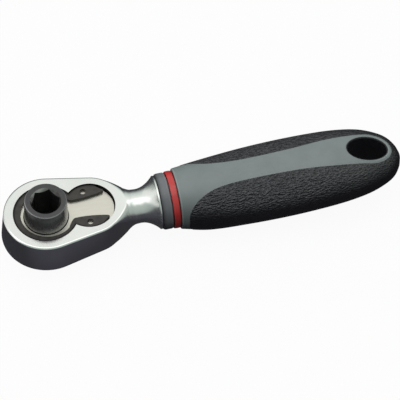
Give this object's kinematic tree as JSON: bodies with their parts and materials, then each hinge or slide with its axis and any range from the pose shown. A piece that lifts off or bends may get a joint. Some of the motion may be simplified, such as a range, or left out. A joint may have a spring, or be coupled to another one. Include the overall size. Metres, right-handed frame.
{
  "type": "bit ratchet",
  "caption": "Straight mini bit ratchet with a hexagon bit socket on a reversible ratchet head, a chrome neck and a two-material handle with a hang hole.",
  "frame": {"origin": "on the drive axis, on the magnet's face that the end of a bit rests on", "axes": "+Z along the drive axis out of the bit socket; +X along the neck and handle, away from the head; +Y across the handle"},
  "size_m": [0.1007, 0.022, 0.0186],
  "materials": {
    "head": "satin chrome plate on forged steel",
    "drive": "black oxide steel, satin",
    "magnet": "nickel plate",
    "o_ring": "matt",
    "cover": "fine brushed",
    "ring": "black oxide spring steel, satin",
    "mechanism": "hardened steel, oiled",
    "lever": "black oxide steel, satin",
    "collar": "satin",
    "marker": "semi-gloss",
    "core": "satin",
    "grip": "fine leather-like grain"
  },
  "bodies": {
    "body": {"head": "head", "cover_plate": "cover", "retaining_ring": "ring", "front_collar": "collar", "marker_ring": "marker", "handle_core": "core", "soft_grip": "grip"},
    "drive": {"drive_gear": "drive", "bit_magnet": "magnet", "drive_o_ring": "o_ring"},
    "lever": {"reversing_lever": "lever", "lever_clip": "mechanism", "detent_spring": "mechanism"},
    "pawl": {"pawl": "mechanism"},
    "plunger": {"detent_plunger": "mechanism"}
  },
  "joints": [
    {"name": "drive_spin", "type": "hinge", "parent": "body", "child": "drive", "pos_m": [0, 0, 0], "axis": [0, 0, 1], "continuous": true},
    {"name": "lever_turn", "type": "hinge", "parent": "body", "child": "lever", "pos_m": [0.0109, 0, 0], "axis": [0, 0, 1], "range_deg": [-44, 0]},
    {"name": "pawl_rock", "type": "hinge", "parent": "body", "child": "pawl", "pos_m": [0.0109, 0, 0], "axis": [0, 0, 1], "range_deg": [-11, 0]},
    {"name": "plunger_slide", "type": "slide", "parent": "lever", "child": "plunger", "axis": [0.9272, 0.3746, 0], "range_m": [0, 0.0003], "stiffness_N_per_m": 300, "deforming": ["detent_spring"]}
  ],
  "couplings": [
    {"joint": "pawl_rock", "follows": "lever_turn", "ratio": 0.25}
  ]
}
